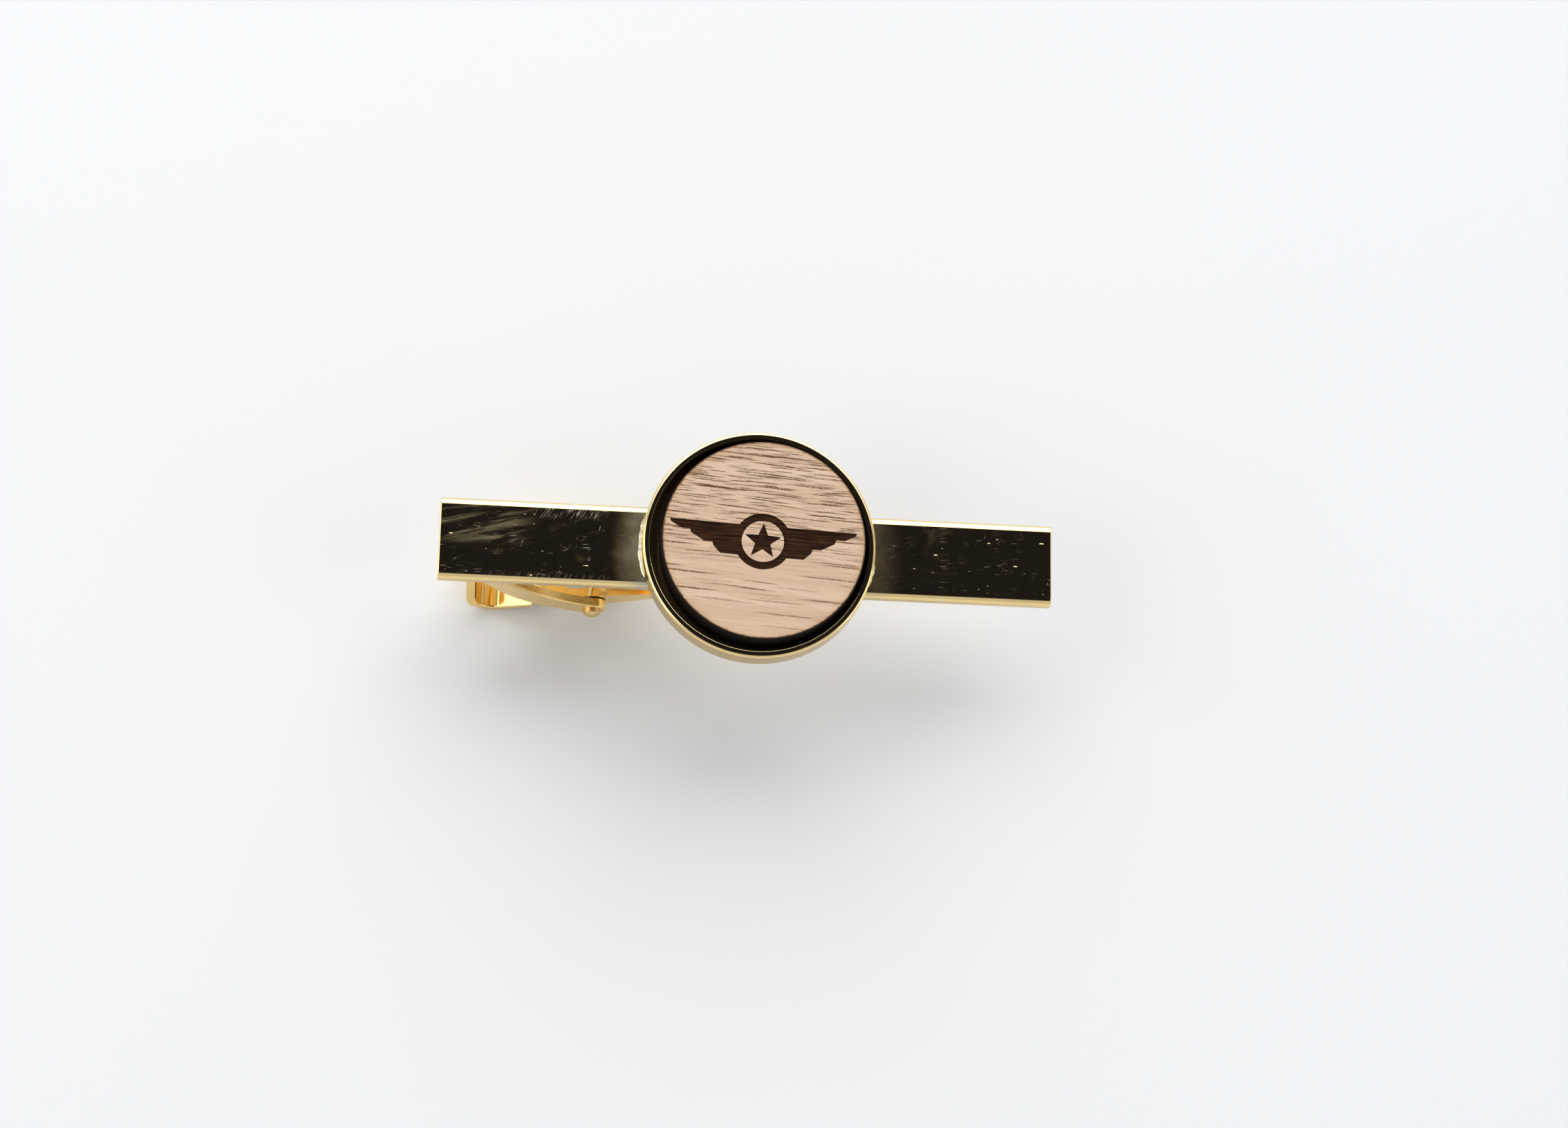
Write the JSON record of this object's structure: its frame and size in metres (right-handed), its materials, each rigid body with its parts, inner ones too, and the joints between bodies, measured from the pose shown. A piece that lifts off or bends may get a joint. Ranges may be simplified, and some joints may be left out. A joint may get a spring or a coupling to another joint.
{
  "type": "tie clip",
  "caption": "Polished tie bar with a round tray holding an engraved wooden wings medallion, and a sprung alligator clasp behind it.",
  "frame": {"origin": "middle of the bar's back face, against which the jaw presses the tie", "axes": "+X along the bar, away from the clasp's thumb end; +Y towards the top of the emblem; +Z out of the front"},
  "size_m": [0.06, 0.0226, 0.0186],
  "materials": {
    "plated_brass": "mirror polished pale gold plate",
    "plated_tray": "polished pale gold plate",
    "solder": "bright, slightly lumpy",
    "glue": "clear amber",
    "engraved_wood": "bare fine-grained wood, laser engraved, burnt edge",
    "clasp_brass": "satin gold plate",
    "lever_brass": "polished gold plate",
    "spring_steel": "drawn wire"
  },
  "bodies": {
    "clip": {"front_bar": "plated_brass", "medallion_tray": "plated_tray", "tray_solder": "solder", "disc_glue": "glue", "wood_disc": "engraved_wood", "clasp_bracket": "clasp_brass", "bracket_solder": "solder", "pivot_pin": "clasp_brass", "clasp_spring": "spring_steel"},
    "lever": {"clasp_lever": "lever_brass"}
  },
  "joints": [
    {"name": "clasp_hinge", "type": "hinge", "parent": "clip", "child": "lever", "pos_m": [-0.0145, 0, -0.0098], "axis": [0, 1, 0], "range_deg": [0, 12], "stiffness_Nm_per_rad": 0.005, "springref_deg": -17.19, "deforming": ["clasp_spring"]}
  ]
}
